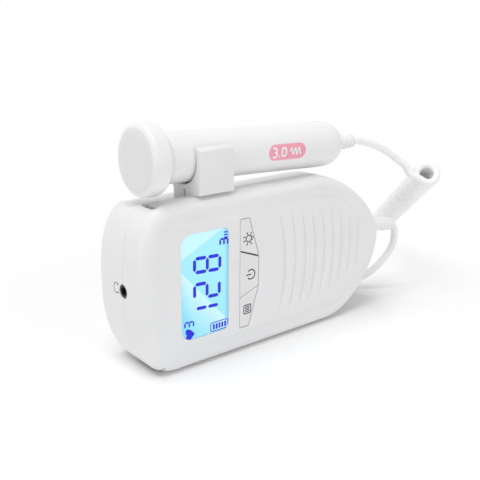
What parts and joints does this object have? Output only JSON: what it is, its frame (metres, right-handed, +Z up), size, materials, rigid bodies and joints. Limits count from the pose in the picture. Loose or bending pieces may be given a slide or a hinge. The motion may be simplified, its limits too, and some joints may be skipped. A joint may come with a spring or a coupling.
{
  "type": "fetal doppler",
  "caption": "Pocket fetal doppler standing on its long side, round-headed probe clipped on top and joined by a curly cord; display, flush keys and grooved front.",
  "frame": {"origin": "middle of the hand unit at the surface it stands on", "axes": "+X from the display end to the cord end, -Y out of the front face, +Z up towards the clipped probe"},
  "size_m": [0.2384, 0.0929, 0.099],
  "materials": {
    "shell": "satin moulded",
    "window": "clear over a lit display",
    "glass_block": "clear",
    "diffuser": "matte",
    "keys": "satin",
    "black_plastic": "matte",
    "board": "solder mask",
    "socket": "matte",
    "cells": "satin",
    "contact_metal": "nickel plated",
    "pressed_steel": "satin",
    "magnet": "sintered",
    "paper": "pressed paper",
    "screw_steel": "zinc plated",
    "holder": "satin moulded",
    "relief": "soft matte",
    "probe": "satin moulded",
    "face": "satin",
    "crystal": "silvered",
    "backing": "matte",
    "label": "printed film",
    "cord": "soft matte"
  },
  "bodies": {
    "hand_unit": {"front_shell": "shell", "rear_shell": "shell", "lcd_window": "window", "lcd_panel": "glass_block", "backlight": "diffuser", "tact_switches": "black_plastic", "main_board": "board", "board_chips": "black_plastic", "headphone_jack": "socket", "battery_cells": "cells", "battery_contacts": "contact_metal", "battery_springs": "contact_metal", "speaker_frame": "pressed_steel", "speaker_magnet": "magnet", "speaker_cone": "paper", "shell_screws": "screw_steel", "probe_clip": "holder", "clip_screws": "screw_steel", "body_strain_relief": "relief", "cord_body_lead": "cord", "cord_coil": "cord", "cord_probe_lead": "cord"},
    "probe": {"probe_head": "probe", "probe_face": "face", "crystal_emitter": "crystal", "crystal_receiver": "crystal", "crystal_backing": "backing", "probe_handle": "probe", "probe_board": "board", "probe_label": "label", "probe_strain_relief": "relief"},
    "key_light": {"key_light": "keys"},
    "key_power": {"key_power": "keys"},
    "key_mode": {"key_mode": "keys"},
    "battery_cover": {"battery_cover": "shell"}
  },
  "joints": [
    {"name": "key_light_press", "type": "slide", "parent": "hand_unit", "child": "key_light", "axis": [0, 1, 0], "range_m": [0, 0.0005], "stiffness_N_per_m": 800},
    {"name": "key_power_press", "type": "slide", "parent": "hand_unit", "child": "key_power", "axis": [0, 1, 0], "range_m": [0, 0.0005], "stiffness_N_per_m": 800},
    {"name": "key_mode_press", "type": "slide", "parent": "hand_unit", "child": "key_mode", "axis": [0, 1, 0], "range_m": [0, 0.0005], "stiffness_N_per_m": 800},
    {"name": "battery_cover_off", "type": "slide", "parent": "hand_unit", "child": "battery_cover", "axis": [0, 1, 0], "range_m": [0, 0.012]},
    {"name": "probe_lift", "type": "slide", "parent": "hand_unit", "child": "probe", "axis": [0, 0, 1], "range_m": [0, 0.032]}
  ]
}
